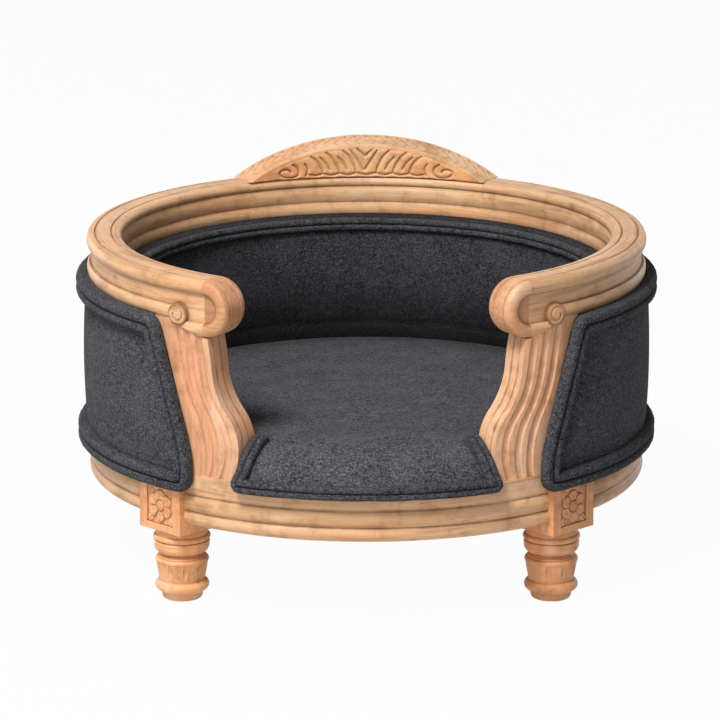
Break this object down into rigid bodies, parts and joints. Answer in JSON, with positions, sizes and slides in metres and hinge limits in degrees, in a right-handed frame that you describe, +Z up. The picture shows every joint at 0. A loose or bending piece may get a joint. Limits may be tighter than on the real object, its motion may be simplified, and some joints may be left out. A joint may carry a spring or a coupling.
{
  "type": "dog sofa bed",
  "caption": "Round dog sofa with a carved hardwood frame, scroll arms, arched crest, turned legs and tight charcoal wool upholstery.",
  "frame": {"origin": "centre of the round plan on the floor, under the middle of the seat", "axes": "+Z up, -Y towards the open front, +X to the right of someone who faces the open front"},
  "size_m": [0.6996, 0.6996, 0.441],
  "materials": {
    "frame_wood": "satin",
    "carved_wood": "satin",
    "inner_wood": "matte",
    "plywood": "matte",
    "wool_fabric": "matte",
    "welt_fabric": "matte"
  },
  "bodies": {
    "root": {"front_rail": "frame_wood", "side_rail_left": "frame_wood", "side_rail_right": "frame_wood", "rear_rail": "frame_wood", "leg_front_left": "carved_wood", "leg_front_right": "carved_wood", "leg_rear_left": "carved_wood", "leg_rear_right": "carved_wood", "arm_post_left": "frame_wood", "arm_post_right": "frame_wood", "side_stile_left": "inner_wood", "side_stile_right": "inner_wood", "rear_stile_left": "inner_wood", "rear_stile_right": "inner_wood", "top_rail_back": "frame_wood", "top_rail_left": "frame_wood", "top_rail_right": "frame_wood", "arm_scroll_left": "frame_wood", "arm_scroll_right": "frame_wood", "crest_board": "carved_wood", "seat_board": "plywood", "seat_pad": "wool_fabric", "inner_back_pad": "wool_fabric", "outer_panel": "wool_fabric", "seat_welt": "welt_fabric", "inner_back_welt": "welt_fabric", "outer_welt_bottom": "welt_fabric", "outer_welt_top": "welt_fabric", "outer_welt_front_left": "welt_fabric", "outer_welt_front_right": "welt_fabric"}
  },
  "joints": []
}
